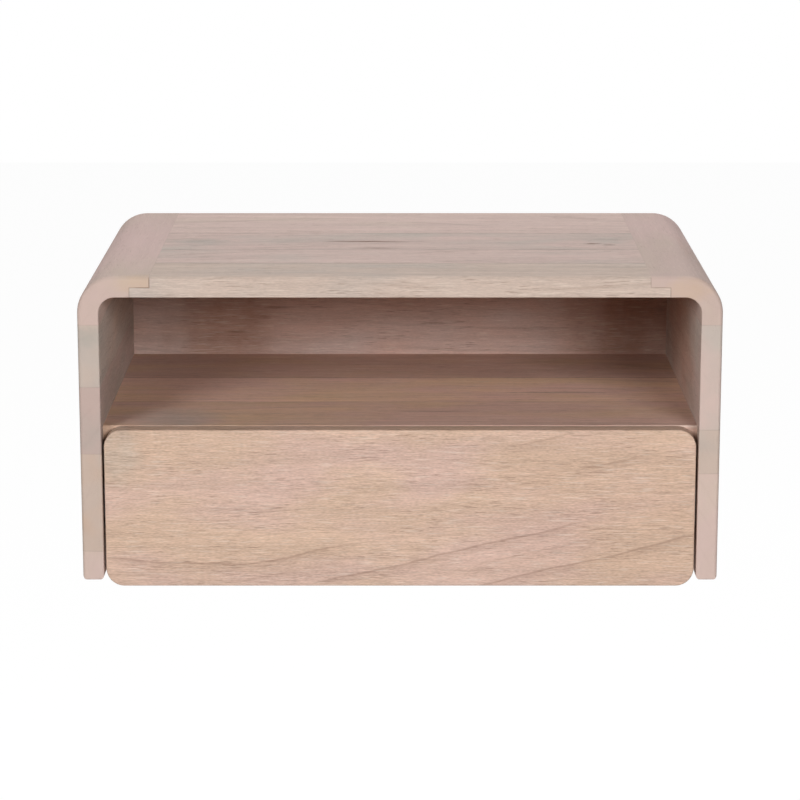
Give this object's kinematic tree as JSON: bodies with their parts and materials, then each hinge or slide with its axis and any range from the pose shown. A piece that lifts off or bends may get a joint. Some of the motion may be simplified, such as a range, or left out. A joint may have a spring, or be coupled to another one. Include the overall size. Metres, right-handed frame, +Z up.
{
  "type": "floating side table",
  "caption": "Wall-hung side table with rounded upper corners, an open niche and a wide handle-less drawer below on telescopic slides.",
  "frame": {"origin": "on the wall plane, half way between the two wall screws", "axes": "+X to the table's right as seen from the front, +Y into the wall, +Z up"},
  "size_m": [0.6, 0.38, 0.2975],
  "materials": {
    "wood_sandy": "matte, whitewashed",
    "wood_rosy": "matte, whitewashed",
    "wood_grey": "matte, whitewashed",
    "wood_front": "matte, whitewashed",
    "wood_plain": "matte, clear",
    "cleat_aluminium": "extruded, satin",
    "slide_steel": "zinc plated",
    "screw_steel": "zinc plated",
    "cage_brass": "satin",
    "ball_steel": "polished",
    "pad_plastic": "soft, translucent"
  },
  "bodies": {
    "case": {"top_stave_front": "wood_sandy", "top_stave_inner_front": "wood_rosy", "top_stave_inner_back": "wood_grey", "top_stave_back": "wood_rosy", "left_corner_block": "wood_rosy", "right_corner_block": "wood_sandy", "left_side_stave_upper": "wood_grey", "left_side_stave_middle": "wood_rosy", "left_side_stave_lower": "wood_sandy", "left_side_stave_foot": "wood_rosy", "right_side_stave_upper": "wood_grey", "right_side_stave_middle": "wood_rosy", "right_side_stave_foot": "wood_sandy", "shelf_stave_front": "wood_rosy", "shelf_stave_middle": "wood_sandy", "shelf_stave_back": "wood_rosy", "back_board_upper": "wood_rosy", "back_board_lower": "wood_rosy", "shelf_dowels": "wood_plain", "back_dowels": "wood_plain", "shelf_screws": "screw_steel", "wall_cleat": "cleat_aluminium", "case_cleat": "cleat_aluminium", "case_cleat_screws": "screw_steel", "left_slide_cabinet_member": "slide_steel", "left_slide_cabinet_screws": "screw_steel", "right_slide_cabinet_member": "slide_steel", "right_slide_cabinet_screws": "screw_steel"},
    "drawer": {"left_slide_drawer_member": "slide_steel", "left_slide_drawer_screws": "screw_steel", "right_slide_drawer_member": "slide_steel", "right_slide_drawer_screws": "screw_steel", "drawer_front": "wood_front", "drawer_box_front": "wood_plain", "drawer_left_side": "wood_plain", "drawer_right_side": "wood_plain", "drawer_back": "wood_plain", "drawer_bottom": "wood_plain", "drawer_front_screws": "screw_steel", "drawer_stop_pads": "pad_plastic"},
    "left_intermediate": {"left_slide_intermediate_member": "slide_steel"},
    "left_outer_cage": {"left_outer_ball_cage": "cage_brass", "left_outer_balls": "ball_steel"},
    "left_inner_cage": {"left_inner_ball_cage": "cage_brass", "left_inner_balls": "ball_steel"},
    "right_intermediate": {"right_slide_intermediate_member": "slide_steel"},
    "right_outer_cage": {"right_outer_ball_cage": "cage_brass", "right_outer_balls": "ball_steel"},
    "right_inner_cage": {"right_inner_ball_cage": "cage_brass", "right_inner_balls": "ball_steel"}
  },
  "joints": [
    {"name": "drawer_slide", "type": "slide", "parent": "case", "child": "drawer", "axis": [0, -1, 0], "range_m": [0, 0.3]},
    {"name": "left_intermediate_slide", "type": "slide", "parent": "case", "child": "left_intermediate", "axis": [0, -1, 0], "range_m": [0, 0.15]},
    {"name": "left_outer_cage_slide", "type": "slide", "parent": "case", "child": "left_outer_cage", "axis": [0, -1, 0], "range_m": [0, 0.075]},
    {"name": "left_inner_cage_slide", "type": "slide", "parent": "left_intermediate", "child": "left_inner_cage", "axis": [0, -1, 0], "range_m": [0, 0.075]},
    {"name": "right_intermediate_slide", "type": "slide", "parent": "case", "child": "right_intermediate", "axis": [0, -1, 0], "range_m": [0, 0.15]},
    {"name": "right_outer_cage_slide", "type": "slide", "parent": "case", "child": "right_outer_cage", "axis": [0, -1, 0], "range_m": [0, 0.075]},
    {"name": "right_inner_cage_slide", "type": "slide", "parent": "right_intermediate", "child": "right_inner_cage", "axis": [0, -1, 0], "range_m": [0, 0.075]}
  ],
  "couplings": [
    {"joint": "left_intermediate_slide", "follows": "drawer_slide", "ratio": 0.5},
    {"joint": "left_outer_cage_slide", "follows": "drawer_slide", "ratio": 0.25},
    {"joint": "left_inner_cage_slide", "follows": "drawer_slide", "ratio": 0.25},
    {"joint": "right_intermediate_slide", "follows": "drawer_slide", "ratio": 0.5},
    {"joint": "right_outer_cage_slide", "follows": "drawer_slide", "ratio": 0.25},
    {"joint": "right_inner_cage_slide", "follows": "drawer_slide", "ratio": 0.25}
  ]
}
